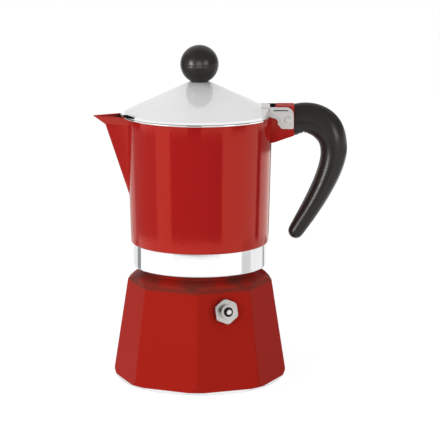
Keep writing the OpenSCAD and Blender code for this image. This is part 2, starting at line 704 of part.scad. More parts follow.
module handle() color("#2b2a28") {
    low_z = handle_top_z - handle_root / 2 + handle_lift;
    sunk_h = screw_head_h + screw_sunk;
    over = 4; // the cutters start this far under the handle
    front = 9; // length cut off flat against the lug
    difference() {
        handle_body();
        translate([lug_reach - front, -handle_root_w, low_z - over])
            cube([front, 2 * handle_root_w, handle_root + 2 * over]);
        translate([lug_reach - 1, -tang_w / 2 - tang_fit, tang_z - tang_h / 2 - tang_fit])
            cube([tang_l + 1 + tang_fit, tang_w + 2 * tang_fit, tang_h + 2 * tang_fit]);
        translate([handle_screw_x, 0, low_z - over]) cylinder(r = handle_screw_r + 0.05, h = 2 * over);
        translate([handle_screw_x, 0, low_z - over]) cylinder(r = screw_head_r + 0.1, h = over + sunk_h);
    }
}

module handle_screw() color("silver") {
    low_z = handle_top_z - handle_root / 2 + handle_lift;
    head_z = low_z + screw_head_h + screw_sunk;
    translate([handle_screw_x, 0, head_z])
        screw(handle_screw_r, tang_z + tang_h / 2 - head_z - 0.5, screw_head_r, screw_head_h);
}

boiler();
valve_body();
valve_washer();
valve_seal();
valve_plunger();
valve_spring();
valve_bush();
funnel_cup();
funnel_tube();
funnel_plate();
gasket();
filter_plate();
collector();
riser_column();
lid();
hinge_pin();
knob();
knob_washer();
knob_screw();
handle();
handle_screw();
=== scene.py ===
import math

import bmesh
import bpy
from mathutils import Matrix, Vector


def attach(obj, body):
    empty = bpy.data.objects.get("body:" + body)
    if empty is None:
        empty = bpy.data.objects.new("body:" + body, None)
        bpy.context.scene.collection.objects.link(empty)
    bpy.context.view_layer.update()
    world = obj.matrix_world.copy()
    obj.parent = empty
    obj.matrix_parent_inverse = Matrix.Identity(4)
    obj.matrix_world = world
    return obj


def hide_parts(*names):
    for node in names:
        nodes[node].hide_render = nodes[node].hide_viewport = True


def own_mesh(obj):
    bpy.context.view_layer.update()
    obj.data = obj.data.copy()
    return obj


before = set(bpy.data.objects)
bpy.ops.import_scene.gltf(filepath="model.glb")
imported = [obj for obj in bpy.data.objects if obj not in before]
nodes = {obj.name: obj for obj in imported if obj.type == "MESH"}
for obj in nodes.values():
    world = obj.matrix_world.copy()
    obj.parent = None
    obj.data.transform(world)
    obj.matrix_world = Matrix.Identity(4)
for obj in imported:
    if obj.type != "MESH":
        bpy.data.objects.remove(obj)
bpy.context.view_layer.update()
mm = 0.001
white, black = (1, 1, 1, 1), (0, 0, 0, 1)
print("frame loaded")

scene = bpy.context.scene
scene.view_settings.view_transform = "Standard"


# materials; places and radii in them are metres from the pot's axis and foot

def newMaterial(name):
    material = bpy.data.materials.new(name)
    material.use_nodes = True
    return material, principled(material)


def principled(material):
    return material.node_tree.nodes["Principled BSDF"]


def addNode(shader, kind, inputs=(), **settings):
    node = shader.id_data.nodes.new(kind)
    for key, value in settings.items():
        setattr(node, key, value)
    for key, value in dict(inputs).items():
        plug(shader, value, node.inputs[key])
    return node


def plug(shader, value, socket):
    if isinstance(value, bpy.types.NodeSocket):
        shader.id_data.links.new(value, socket)
    else:
        socket.default_value = value


def setSockets(shader, values):
    for name, value in values.items():
        shader.inputs[name].default_value = value


def maths(shader, operation, a, b=0.0, c=0.0, clamp=False):
    node = addNode(shader, "ShaderNodeMath", {0: a, 1: b, 2: c}, operation=operation, use_clamp=clamp)
    return node.outputs[0]


def multiply(shader, product, *factors):
    for factor in factors:
        product = maths(shader, "MULTIPLY", product, factor)
    return product


def mixColours(shader, factor, a, b):
    node = addNode(shader, "ShaderNodeMix", {0: factor, 6: a, 7: b}, data_type="RGBA")
    return node.outputs[2]


def mixValues(shader, factor, a, b):
    node = addNode(shader, "ShaderNodeMix", {0: factor, 2: a, 3: b}, data_type="FLOAT")
    return node.outputs[0]


def overlay(shader, name, mask, value):
    # keeps what a socket has, and gives it another value where the mask is 1
    socket = shader.inputs[name]
    plain = socket.links[0].from_socket if socket.links else socket.default_value
    blend = mixColours if name == "Base Color" else mixValues
    plug(shader, blend(shader, mask, plain, value), socket)


def noise(shader, scale, detail=2.0, stretch=(1, 1, 1)):
    spot = addNode(shader, "ShaderNodeTexCoord").outputs["Object"]
    mapped = addNode(shader, "ShaderNodeMapping", {"Vector": spot, "Scale": stretch}).outputs[0]
    pattern = addNode(shader, "ShaderNodeTexNoise", {"Vector": mapped, "Scale": scale, "Detail": detail})
    return pattern.outputs[0]


def addBump(shader, height, strength, distance):
    bump = addNode(shader, "ShaderNodeBump", {"Height": height, "Strength": strength, "Distance": distance})
    plug(shader, bump.outputs[0], shader.inputs["Normal"])


def place(shader):
    # x, y, z and the distance from the pot's axis
    coordinates = addNode(shader, "ShaderNodeTexCoord").outputs["Object"]
    parts = addNode(shader, "ShaderNodeSeparateXYZ", {0: coordinates}).outputs
    flat = addNode(shader, "ShaderNodeCombineXYZ", {0: parts[0], 1: parts[1]}).outputs[0]
    radius = addNode(shader, "ShaderNodeVectorMath", {0: flat}, operation="LENGTH").outputs["Value"]
    return parts[0], parts[1], parts[2], radius


softEdge, sharpEdge = 0.00012, 0.0001  # width over which one finish turns into the next


def above(shader, value, limit, softness=softEdge):
    edge = maths(shader, "SUBTRACT", value, limit)
    return maths(shader, "MULTIPLY_ADD", edge, 0.5 / softness, 0.5, clamp=True)


def between(shader, value, limits, softness=softEdge):
    low, high = limits
    return multiply(shader, above(shader, value, low, softness), above(shader, high, value, softness))


def taper(shader, z, wall):
    # a wall's radius at height z, from its slope and its radius at the foot
    slope, foot = wall
    return maths(shader, "MULTIPLY_ADD", z, slope, foot)


# both castings: red paint outside, turned or cast metal elsewhere
casting = {"paintTint": (1.0, 0.60, 0.30, 1), "bare": (0.80, 0.80, 0.81, 1), "dull": (0.66, 0.66, 0.67, 1),
           "dullShare": 0.8, "cloud": 22.0, "grain": 900.0, "turning": (40, 40, 2600), "turningHeight": 0.4,
           "bump": 0.05, "bumpDepth": 0.0004}
boilerPaint = {"colour": (0.375, 0.0160, 0.0098, 1), "deep": (0.345, 0.0140, 0.0086, 1), "roughness": 0.30,
               "specular": 0.01, "metallic": 0.0, "from": 0.0018, "to": 0.0582, "wall": (-0.1418, 0.03981),
               "shoulder": (-0.75, 0.06925), "metalRoughness": 0.30}
# the shoulder's paint is darkened along its outer edge and in patches above it, partly browned by heat, partly
# painted shade
boilerPaint["burn"] = {"colour": (0.150, 0.027, 0.019, 1), "from": 0.0504, "fromSoft": 0.0009, "to": 0.0590,
                       "toSoft": 0.0004, "edge": 0.0530, "edgeSoft": 0.0016, "edgeShare": 0.85, "patches": 60.0,
                       "contrast": 4.0, "offset": -1.35}
jugPaint = {"colour": (0.425, 0.0122, 0.0125, 1), "deep": (0.395, 0.0108, 0.0112, 1), "roughness": 0.10,
            "specular": 0.36, "metallic": 0.14, "from": 0.0699, "wall": (0.02795, 0.03274), "skin": 0.0011,
            "metalRoughness": 0.32, "bandRadius": 0.0325, "bandTop": 0.0701, "bandRoughness": 0.07}


def boilerZones(shader, z, radius):
    # painted from the foot to the neck, outside the wall and the shoulder
    wall, shoulder = (taper(shader, z, boilerPaint[key]) for key in ("wall", "shoulder"))
    outside = above(shader, radius, maths(shader, "MINIMUM", wall, shoulder))
    height = multiply(shader, above(shader, boilerPaint["to"], z), above(shader, z, boilerPaint["from"]))
    return multiply(shader, outside, height), boilerPaint["metalRoughness"]


def jugZones(shader, z, radius):
    # painted outside the wall and above the band, which is polished
    wall = maths(shader, "SUBTRACT", taper(shader, z, jugPaint["wall"]), jugPaint["skin"])
    painted = multiply(shader, above(shader, radius, wall), above(shader, z, jugPaint["from"]))
    band = multiply(shader, above(shader, radius, jugPaint["bandRadius"]), above(shader, jugPaint["bandTop"], z))
    return painted, mixValues(shader, band, jugPaint["metalRoughness"], jugPaint["bandRoughness"])


def burnPaint(shader, z, red, burn):
    shoulderZone = multiply(shader, above(shader, z, burn["from"], burn["fromSoft"]),
                    above(shader, burn["to"], z, burn["toSoft"]))
    edge = multiply(shader, above(shader, burn["edge"], z, burn["edgeSoft"]), burn["edgeShare"])
    cloud = noise(shader, burn["patches"])
    patches = maths(shader, "MULTIPLY_ADD", cloud, burn["contrast"], burn["offset"], clamp=True)
    burnt = multiply(shader, shoulderZone, maths(shader, "MAXIMUM", patches, edge))
    # heat-browned paint and painted shade under the jug, on the shoulder
    return mixColours(shader, burnt, red, burn["colour"])


def paintAndMetal(name, paint, zones):
    material, shader = newMaterial(name)
    x, y, z, radius = place(shader)
    painted, metalRoughness = zones(shader, z, radius)
    red = mixColours(shader, noise(shader, casting["cloud"], 3.0), paint["colour"], paint["deep"])
    if "burn" in paint:
        red = burnPaint(shader, z, red, paint["burn"])
    turning = noise(shader, 1.0, stretch=casting["turning"])
    metal = mixColours(shader, multiply(shader, turning, casting["dullShare"]), casting["bare"], casting["dull"])
    height = mixValues(shader, painted, multiply(shader, turning, casting["turningHeight"]),
                       noise(shader, casting["grain"]))
    for socket, value in (("Base Color", mixColours(shader, painted, metal, red)),
                          ("Metallic", mixValues(shader, painted, 1.0, paint["metallic"])),
                          ("Roughness", mixValues(shader, painted, metalRoughness, paint["roughness"])),
                          ("Specular Tint", mixColours(shader, painted, white, casting["paintTint"]))):
        plug(shader, value, shader.inputs[socket])
    setSockets(shader, {"Specular IOR Level": paint["specular"]})
    addBump(shader, height, casting["bump"], casting["bumpDepth"])
    return material


# the spout's throat beside the lid and the notch beside the hinge are painted dark as shade, the rim and the
# lug's top matt
hollow = {"paintedShade": (0.028, 0.007, 0.005, 1), "tip": 0.0534, "rim": 0.1344, "spread": 0.532, "wall": 0.0010,
          "throatFrom": 0.1285, "throatTo": 0.1343, "throatTip": -0.0435, "tipSoft": 0.004, "throatEnd": -0.030,
          "notch": (0.0340, 0.0380), "notchFrom": 0.1360, "mattRim": (0.1341, 0.1347), "mattLug": 0.1394,
          "mattRoughness": 0.7}


def paintShadeInHollows(material):
    shader = principled(material)
    x, y, z, radius = place(shader)
    leaning = maths(shader, "ADD", z, hollow["tip"] - hollow["rim"])
    fromTip = maths(shader, "ADD", x, leaning)
    halfWidth = maths(shader, "MULTIPLY_ADD", fromTip, hollow["spread"], -hollow["wall"])
    throat = multiply(shader, above(shader, halfWidth, maths(shader, "ABSOLUTE", y)),
                      above(shader, z, hollow["throatFrom"]), above(shader, hollow["throatTo"], z, sharpEdge),
                      above(shader, x, hollow["throatTip"], hollow["tipSoft"]),
                      above(shader, hollow["throatEnd"], x))
    notch = multiply(shader, between(shader, x, hollow["notch"]), above(shader, z, hollow["notchFrom"]))
    dark = maths(shader, "MAXIMUM", throat, notch)
    # painted shade in the spout's throat and in the notch beside the hinge
    overlay(shader, "Base Color", dark, hollow["paintedShade"])
    flatTop = maths(shader, "MAXIMUM", between(shader, z, hollow["mattRim"], sharpEdge),
                    above(shader, z, hollow["mattLug"]))
    overlay(shader, "Roughness", maths(shader, "MAXIMUM", dark, flatTop), hollow["mattRoughness"])


metals = {
    "castAluminium": {"colour": (0.74, 0.74, 0.75, 1), "dull": (0.60, 0.60, 0.61, 1), "roughness": 0.38,
                      "scale": 400, "bump": 0.2},
    "polishedLid": {"colour": (0.81, 0.81, 0.805, 1), "dull": (0.76, 0.76, 0.76, 1), "roughness": 0.50,
                    "scale": 30, "stretch": (1, 1, 12), "bump": 0.02, "metallic": 0.2},
    "satinPlate": {"colour": (0.76, 0.745, 0.72, 1), "dull": (0.68, 0.665, 0.64, 1), "roughness": 0.46,
                   "scale": 60, "stretch": (1, 1, 8), "bump": 0.04, "metallic": 0.6},
    "nickel": {"colour": (0.55, 0.535, 0.51, 1), "dull": (0.40, 0.385, 0.365, 1), "roughness": 0.25,
               "scale": 500, "bump": 0.06},
    # nickel painted nearly black: painted shade in the valve's bore
    "shadedNickel": {"colour": (0.06, 0.058, 0.055, 1), "dull": (0.04, 0.039, 0.037, 1), "roughness": 0.4,
                   "scale": 500, "bump": 0.06},
    "brightNickel": {"colour": (0.70, 0.69, 0.67, 1), "dull": (0.60, 0.59, 0.57, 1), "roughness": 0.22,
                     "scale": 500, "bump": 0.05},
    "steel": {"colour": (0.62, 0.62, 0.63, 1), "dull": (0.52, 0.52, 0.53, 1), "roughness": 0.28,
              "scale": 600, "bump": 0.05},
    "springSteel": {"colour": (0.50, 0.50, 0.51, 1), "dull": (0.40, 0.40, 0.41, 1), "roughness": 0.32,
                    "scale": 800, "bump": 0.05},
}
mouldings = {
    "blackPlastic": {"colour": (0.0200, 0.0180, 0.0152, 1), "light": (0.0240, 0.0215, 0.0185, 1),
                     "roughness": 0.30, "scale": 1500, "bump": 0.10},
    "whiteRubber": {"colour": (0.80, 0.79, 0.76, 1), "light": (0.74, 0.73, 0.70, 1),
                    "roughness": 0.6, "scale": 900, "bump": 0.1},
    "blackRubber": {"colour": (0.016, 0.016, 0.016, 1), "light": (0.022, 0.022, 0.022, 1),
                    "roughness": 0.6, "scale": 900, "bump": 0.12},
}


def roughen(shader, pattern, roughness, spread):
    # the roughness wanders by half the spread to each side
    uneven = maths(shader, "MULTIPLY_ADD", pattern, spread, roughness - spread / 2)
    plug(shader, uneven, shader.inputs["Roughness"])


def metalFinish(name, colour, dull, roughness, scale, bump, stretch=(1, 1, 1), metallic=1.0):
    material, shader = newMaterial(name)
    wear = noise(shader, scale, 3.0, stretch)
    plug(shader, mixColours(shader, wear, colour, dull), shader.inputs["Base Color"])
    roughen(shader, wear, roughness, 0.12)
    setSockets(shader, {"Metallic": metallic})
    addBump(shader, wear, bump, 0.0003)
    return material


def mouldedFinish(name, colour, light, roughness, scale, bump, cloud=60.0, specular=0.20):
    material, shader = newMaterial(name)
    grain = noise(shader, scale, 3.0)
    plug(shader, mixColours(shader, noise(shader, cloud), colour, light), shader.inputs["Base Color"])
    roughen(shader, grain, roughness, 0.14)
    setSockets(shader, {"Specular IOR Level": specular})
    addBump(shader, grain, bump, 0.0004)
    return material


# clear lacquer over the lid's sheet; its rolled lip is polished bright
lidFinish = {"coatRoughness": 0.07, "coatIor": 1.85, "lipTop": 0.1372, "lipRadius": 0.0376, "lipRoughness": 0.05,
             "lipColour": (0.95, 0.95, 0.95, 1)}


def lacquerLid(material):
    shader = principled(material)
    setSockets(shader, {"Coat Weight": 1.0, "Coat Roughness": lidFinish["coatRoughness"],
                        "Coat IOR": lidFinish["coatIor"]})
    x, y, z, radius = place(shader)
    lip = multiply(shader, above(shader, lidFinish["lipTop"], z), above(shader, radius, lidFinish["lipRadius"]))
    overlay(shader, "Roughness", lip, lidFinish["lipRoughness"])
    overlay(shader, "Metallic", lip, 1.0)
    overlay(shader, "Base Color", lip, lidFinish["lipColour"])


# painted shade lies in the line pressed into each cheek and on the far cheek's end beside the lid
plateShade = {"colour": (0.02, 0.025, 0.02, 1), "lineHeight": (0.13777, 0.13828), "lineDepth": 0.00758,
             "lineFrom": 0.0367, "recessY": (0.0054, 0.0073), "recessFrom": 0.1360, "recessX": (0.0345, 0.0385)}


def paintPlateShade(material):
    shader = principled(material)
    x, y, z, radius = place(shader)
    line = multiply(shader, between(shader, z, plateShade["lineHeight"]),
                    above(shader, plateShade["lineDepth"], maths(shader, "ABSOLUTE", y)),
                    above(shader, x, plateShade["lineFrom"]))
    recess = multiply(shader, between(shader, y, plateShade["recessY"]), above(shader, z, plateShade["recessFrom"]),
                      between(shader, x, plateShade["recessX"]))
    # the pressed line and the recess are painted dark as shade
    overlay(shader, "Base Color", maths(shader, "MAXIMUM", line, recess), plateShade["colour"])


# the valve leans out of its facet; the bore round its pin is painted dark as shade
valve = {"facet": (0.01225, -0.03294, 0.0414), "direction": (0.345118, -0.927996, 0.140418), "bore": 0.00245,
         "boreShade": (0.03, 0.03, 0.028, 1)}


def paintBoreShade(material):
    shader = principled(material)
    spot = addNode(shader, "ShaderNodeTexCoord").outputs["Object"]
    offset = addNode(shader, "ShaderNodeVectorMath", {0: spot, 1: valve["facet"]}, operation="SUBTRACT")
    across = addNode(shader, "ShaderNodeVectorMath", {0: offset.outputs[0], 1: valve["direction"]},
                     operation="CROSS_PRODUCT")
    distance = addNode(shader, "ShaderNodeVectorMath", {0: across.outputs[0]}, operation="LENGTH")
    inside = above(shader, valve["bore"], distance.outputs["Value"], sharpEdge)
    # painted shade inside the bore
    overlay(shader, "Base Color", inside, valve["boreShade"])


finishes = {"redBoiler": paintAndMetal("redBoiler", boilerPaint, boilerZones),
            "redJug": paintAndMetal("redJug", jugPaint, jugZones)}
finishes.update((name, metalFinish(name, **settings)) for name, settings in metals.items())
finishes.update((name, mouldedFinish(name, **settings)) for name, settings in mouldings.items())
paintShadeInHollows(finishes["redJug"])
lacquerLid(finishes["polishedLid"])
paintPlateShade(finishes["satinPlate"])
paintBoreShade(finishes["nickel"])

nodeFinishes = {
    "boiler": "redBoiler", "collector": "redJug", "hinge_pin": "satinPlate",
    # the bush wears the shaded nickel, painted shade round the pin
    "valve_body": "nickel", "valve_bush": "shadedNickel", "valve_plunger": "brightNickel",
    "valve_spring": "springSteel", "valve_washer": "blackRubber", "valve_seal": "blackRubber",
    "funnel_cup": "castAluminium", "funnel_tube": "castAluminium", "funnel_plate": "castAluminium",
    "filter_plate": "castAluminium", "riser_column": "castAluminium", "gasket": "whiteRubber",
    "knob_washer": "steel", "knob_screw": "steel", "handle_screw": "steel",
}
for name, finish in nodeFinishes.items():
    nodes[name].data.materials.clear()
    nodes[name].data.materials.append(finishes[finish])
print("materials ready")


# shaping tools; their places and sizes, and those in the dictionaries of the pieces, are millimetres

def arcPoints(centre, radius, start, end, count=6):
    turn = [math.radians(start + (end - start) * i / count) for i in range(count + 1)]
    return [(centre[0] + radius * math.cos(t), centre[1] + radius * math.sin(t)) for t in turn]


def metres(values):
    return tuple(value * mm for value in values)


def startPoint(name, x, y, z):
    bpy.ops.object.select_all(action="DESELECT")
    bpy.ops.mesh.primitive_plane_add(size=0.001, location=metres((x, y, z)))
    piece = bpy.context.object
    piece.name = name
    bpy.ops.object.transform_apply(location=True, rotation=False, scale=False)
    bpy.ops.object.mode_set(mode="EDIT")
    bpy.ops.mesh.select_all(action="SELECT")
    bpy.ops.mesh.merge(type="CENTER")
    return piece


def drawLine(outline, flat=False):
    for here, there in zip(outline, outline[1:]):
        along, across = (there[0] - here[0]) * mm, (there[1] - here[1]) * mm
        step = (along, across, 0) if flat else (along, 0, across)
        bpy.ops.mesh.extrude_region_move(TRANSFORM_OT_translate={"value": step})


def closeShape():
    bpy.ops.mesh.select_all(action="SELECT")
    bpy.ops.mesh.normals_make_consistent(inside=False)
    bpy.ops.object.mode_set(mode="OBJECT")


def turned(name, outline, steps=96):
    piece = startPoint(name, outline[0][0], 0, outline[0][1])
    drawLine(outline)
    bpy.ops.mesh.select_all(action="SELECT")
    bpy.ops.mesh.spin(steps=steps, angle=2 * math.pi, center=(0, 0, 0), axis=(0, 0, 1))
    bpy.ops.mesh.select_all(action="SELECT")
    bpy.ops.mesh.remove_doubles(threshold=0.000005)
    closeShape()
    return piece


def plate(name, outline, low, high, flat=False):
    # an upright outline in x and z made thick along y, or a flat one in x and y made thick along z
    x, side = outline[0]
    piece = startPoint(name, x, side, low) if flat else startPoint(name, x, low, side)
    drawLine(outline, flat)
    bpy.ops.mesh.select_all(action="SELECT")
    bpy.ops.mesh.edge_face_add()
    thickness = (high - low) * mm
    step = (0, 0, thickness) if flat else (0, thickness, 0)
    bpy.ops.mesh.extrude_region_move(TRANSFORM_OT_translate={"value": step})
    closeShape()
    return piece


def block(name, low, high):
    bpy.ops.object.select_all(action="DESELECT")
    bpy.ops.mesh.primitive_cube_add(size=1, location=[(a + b) / 2 * mm for a, b in zip(low, high)])
    piece = bpy.context.object
    piece.name = name
    piece.scale = [(b - a) * mm for a, b in zip(low, high)]
    bpy.ops.object.transform_apply(location=True, rotation=True, scale=True)
    return piece


def choose(piece, kind, test):
    bpy.ops.mesh.select_mode(type=kind)
    bpy.ops.mesh.select_all(action="DESELECT")
    shape = bmesh.from_edit_mesh(piece.data)
    for part in {"VERT": shape.verts, "EDGE": shape.edges, "FACE": shape.faces}[kind]:
        if test(part):
            part.select_set(True)
    bmesh.update_edit_mesh(piece.data)


def pick(piece):
    bpy.ops.object.select_all(action="DESELECT")
    bpy.context.view_layer.objects.active = piece
    piece.select_set(True)


def applyModifier(piece, kind, **settings):
    bpy.context.view_layer.objects.active = piece
    modifier = piece.modifiers.new(kind.title(), kind)
    for key, value in settings.items():
        setattr(modifier, key, value)
    bpy.ops.object.modifier_apply(modifier=modifier.name)


def bevelEdges(piece, width, segments):
    applyModifier(piece, "BEVEL", width=width * mm, segments=segments, limit_method="ANGLE",
                  angle_limit=math.radians(50))


def combine(piece, other, operation="DIFFERENCE"):
    applyModifier(piece, "BOOLEAN", object=other, operation=operation, solver="EXACT")
    bpy.data.objects.remove(other)


def drill(piece, radius, length, centre, turn=(0, 0, 0)):
    bpy.ops.object.select_all(action="DESELECT")
    bpy.ops.mesh.primitive_cylinder_add(vertices=48, radius=radius * mm, depth=length * mm,
                                        location=metres(centre), rotation=turn)
    combine(piece, bpy.context.object)


def finishPiece(piece, finish, body, replaced=(), smooth=35):
    pick(piece)
    bpy.ops.object.shade_smooth_by_angle(angle=math.radians(smooth))
    piece.data.materials.clear()
    piece.data.materials.append(finishes[finish])
    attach(piece, body)
    if replaced:
        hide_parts(*replaced)
    print("made", piece.name, len(piece.data.polygons), "faces")


# knob: a moulded ball with a parting line, on a short foot, with a blind hole for its screw
knob = {"radius": 9.6, "centre": 160.416, "foot": 151.69, "footRadius": 4.6, "footEdge": 0.25, "hole": 2.05,
        "holeDepth": 9.4, "seam": 1.2, "seamDepth": 0.07}


def makeKnob():
    foot, edge, waist, radius = knob["foot"], knob["footEdge"], knob["footRadius"], knob["radius"]
    centre = (0, knob["centre"])
    holeTop = foot + knob["holeDepth"]
    low = -math.degrees(math.acos(waist / radius))
    outline = [(0, holeTop), (knob["hole"], holeTop), (knob["hole"], foot)]
    outline += [(waist - edge, foot), (waist, foot + edge)]
    outline += arcPoints(centre, radius, low, -knob["seam"], 20)
    outline += [(radius - knob["seamDepth"], knob["centre"])]
    outline += arcPoints(centre, radius, knob["seam"], 90, 28)
    piece = turned("ballKnob", outline)
    finishPiece(piece, "blackPlastic", "lid", ["knob"], 40)


# lid: a spun cone with a rolled lip, open where the hinge plate stands
lid = {"radius": 39.6, "low": 134.7, "lip": 1.3, "edge": 0.8, "roll": 0.5, "slope": 24.9, "sheet": 1.2,
       "crown": 5.0, "crownBend": 0.6, "lipBend": 0.7, "inner": 35.4, "slot": 35.0, "slotHalf": 7.7, "hole": 2.2,
       "cutX": 31.5, "cutY": 23.9, "bevel": 0.15}


def makeLid():
    lipTop = lid["low"] + lid["lip"]
    edge = lid["radius"] - lid["edge"]
    rise = math.tan(math.radians(lid["slope"]))
    crown, bend, lipBend, roll = lid["crown"], lid["crownBend"], lid["lipBend"], lid["roll"]
    crownTop = lipTop + (edge - crown) * rise
    underLip = lipTop - 0.4 + (edge - lid["inner"]) * rise - lid["sheet"]
    rollX = lid["radius"] - roll
    outline = [(lid["hole"], crownTop), (crown - bend, crownTop), (crown - 0.1, crownTop - 0.06)]
    outline += [(crown + bend, crownTop - bend * rise - 0.02)]
    outline += [(edge - lipBend, lipTop + lipBend * rise), (edge - 0.1, lipTop + 0.10)]
    outline += arcPoints((rollX, lipTop - 0.6), roll, 80, 0, 5)
    outline += arcPoints((rollX, lid["low"] + roll), roll, 0, -90, 5)
    outline += [(lid["inner"], lid["low"]), (lid["inner"], underLip), (crown - 0.4, crownTop - lid["sheet"])]
    outline += [(lid["hole"], crownTop - lid["sheet"]), (lid["hole"], crownTop)]
    piece = turned("spunLid", outline, 128)
    # the slot for the hinge plate and a straight cut on each side of it, by shapes that reach well past the sheet
    combine(piece, block("lidSlot", (lid["slot"], -lid["slotHalf"], 129), (56, lid["slotHalf"], 150)))
    for side in (-1, 1):
        corner, beside = (lid["cutX"], side * lid["cutY"]), side * lid["slotHalf"]
        outline = [corner, (60, side * 50), (60, beside), (lid["slot"], beside)]
        combine(piece, plate("lidTrim", outline, 130, 145, flat=True))
    bevelEdges(piece, lid["bevel"], 2)
    finishPiece(piece, "polishedLid", "lid", ["lid"], 30)


# hinge plate: two cheeks, the tab over them and a wing on each side, folded from one strip. The arcs of a cheek's
# lower edge start from the pin; the pressed line's corners start from the pin, the cheek's face and the top
hinge = {"pinX": 43.9, "pinZ": 133.3, "pinRadius": 1.5, "inside": 5.9, "outside": 7.7, "top": 139.5, "right": 3.1,
         "corner": 3.6, "left": 35.0, "fold": 0.9, "sheet": 1.2, "tab": (30.6, 31.0, 35.3), "wing": 30.2,
         "overlap": 0.2, "overLip": 0.2, "line": ((-7.0, -0.6, -1.75), (0.4, 0.6, -1.2)), "bevel": 0.28,
         "arcs": ((2.4, -3.8, 0.7, 0, -90, 4), (-2.2, -3.2, 1.3, -90, -150, 5), (-6.9, -1.4, 2.2, -20, 85, 7))}


def makeHingePlate():
    x, z, top, fold, corner = hinge["pinX"], hinge["pinZ"], hinge["top"], hinge["fold"], hinge["corner"]
    outline = [(hinge["left"], lid["low"] + 0.1), (hinge["left"], top - fold)]
    outline += arcPoints((hinge["left"] + fold, top - fold), fold, 150, 90, 3)
    outline += arcPoints((x + hinge["right"] - corner, top - corner), corner, 90, 0, 8)
    for dx, dz, radius, start, end, count in hinge["arcs"]:
        outline += arcPoints((x + dx, z + dz), radius, start, end, count)
    piece = plate("hingePlate", outline, -hinge["outside"], -hinge["inside"])
    combine(piece, plate("cheek", outline, hinge["inside"], hinge["outside"]), "UNION")
    tabLow, tabHigh, tabEnd = hinge["tab"]
    under = top - hinge["sheet"]
    tab = plate("tab", [(tabLow, under), (tabEnd, under), (tabEnd, top), (tabHigh, top)],
                -hinge["outside"], hinge["outside"])
    combine(piece, tab, "UNION")
    wingTop = lid["low"] + lid["lip"] + hinge["overLip"]
    for side in (-1, 1):
        start, end = ((x + dx, side * hinge["outside"] + dy, top + dz) for dx, dy, dz in hinge["line"])
        combine(piece, block("pressedLine", start, end))
        inside = side * hinge["inside"]
        wing = plate("wing", [(lid["cutX"], side * lid["cutY"]), (lid["slot"] + hinge["overlap"], inside),
                              (hinge["wing"], inside)], lid["low"], top, flat=True)
        pick(wing)
        bpy.ops.object.mode_set(mode="EDIT")
        # its outer corner comes down to the lip
        choose(wing, "VERT", lambda v: abs(v.co.y) > 0.02 and v.co.z > 0.138)
        bpy.ops.transform.translate(value=(0, 0, (wingTop - top) * mm))
        bpy.ops.object.mode_set(mode="OBJECT")
        combine(piece, wing, "UNION")
    drill(piece, hinge["pinRadius"], 40, (x, 0, z), (math.pi / 2, 0, 0))
    bevelEdges(piece, hinge["bevel"], 3)
    finishPiece(piece, "satinPlate", "lid")


# handle: a rounded block drawn along two curves that meet at its reach, with a socket for the lug's tongue
handle = {"start": 47.3, "top": 132.1, "reach": 67.5, "midZ": 116.9, "tipX": 48.6, "tipZ": 75.6,
          "upperPull": (12.4, 4.2, 11), "lowerPull": (11.9, 13.2, 9.1), "root": 15.6, "bulge": 0.4, "mid": 13.4,
          "tip": 7.8, "rootWidth": 11.0, "gripWidth": 15.0, "tipFlat": 2, "widen": (0.12, 0.3), "narrow": 0.75,
          "swell": 1.011, "behind": 3.5, "steps": 26, "tipSteps": 5, "tongue": (9.65, 5.5, 9.9), "tongueZ": 133.1,
          "front": ((-9, -10, 118), (0, 10, 148)), "screwX": 52.1, "screwLow": 120,
          "screwHoles": ((1.8, 130.0), (3.1, 127.9))}


def bezierPoint(points, t):
    weights = ((1 - t) ** 3, 3 * t * (1 - t) ** 2, 3 * t * t * (1 - t), t ** 3)
    return Vector([sum(w * p[axis] for w, p in zip(weights, points)) for axis in (0, 1)])


def heading(angle):
    return Vector((math.cos(math.radians(angle)), math.sin(math.radians(angle))))


def handlePlace(s):
    # the middle of the handle and its heading, from the root at s 0 to the tip at s 1
    start, top, reach, middle = handle["start"], handle["top"], handle["reach"], handle["midZ"]
    out, up, over = handle["upperPull"]
    under, back, down = handle["lowerPull"]
    upper = [(start - 1, top), (start + out, top + up), (reach, middle + over), (reach, middle)]
    lower = [(reach, middle), (reach, middle - under), (reach - back, handle["tipZ"] + down),
             (handle["tipX"], handle["tipZ"])]
    curve, t = (upper, 2 * s) if s <= 0.5 else (lower, 2 * s - 1)
    ahead = bezierPoint(curve, min(t + 0.001, 1)) - bezierPoint(curve, max(t - 0.001, 0))
    return bezierPoint(curve, t), math.degrees(math.atan2(ahead.y, ahead.x))


def ease(t):
    t = min(max(t, 0), 1)
    return t ** 2 * (3 - 2 * t)


def handleSize(s):
    # the handle's depth in its own plane and its width
    root, bulge, mid, tip, grip = (handle[key] for key in ("root", "bulge", "mid", "tip", "gripWidth"))
    if s < 0.25:
        depth = root + bulge * math.sin(2 * math.pi * s)
    elif s < 0.5:
        depth = root + bulge - (root + bulge - mid) * (1 - math.cos(4 * math.pi * (s - 0.25))) / 2
    else:
        depth = mid + (tip - mid) * (2 * s - 1)
    widenFrom, widenOver = handle["widen"]
    if s < handle["narrow"]:
        width = handle["rootWidth"] + (grip - handle["rootWidth"]) * ease((s - widenFrom) / widenOver)
    else:
        narrow = handle["narrow"]
        width = grip - (grip - tip - handle["tipFlat"]) * ease((s - narrow) / (1 - narrow))
    return depth * handle["swell"], width * handle["swell"]


def extrudeSection(before, after):
    (p0, a0, d0, w0), (p1, a1, d1, w1) = before, after
    centre = (p1.x * mm, 0, p1.y * mm)
    step = ((p1.x - p0.x) * mm, 0, (p1.y - p0.y) * mm)
    bpy.ops.mesh.extrude_region_move(TRANSFORM_OT_translate={"value": step})
    bpy.ops.transform.rotate(value=math.radians(a1 - a0), orient_axis="Y", center_override=centre)
    bpy.ops.transform.resize(value=(d1 / d0, w1 / w0, d1 / d0), center_override=centre)


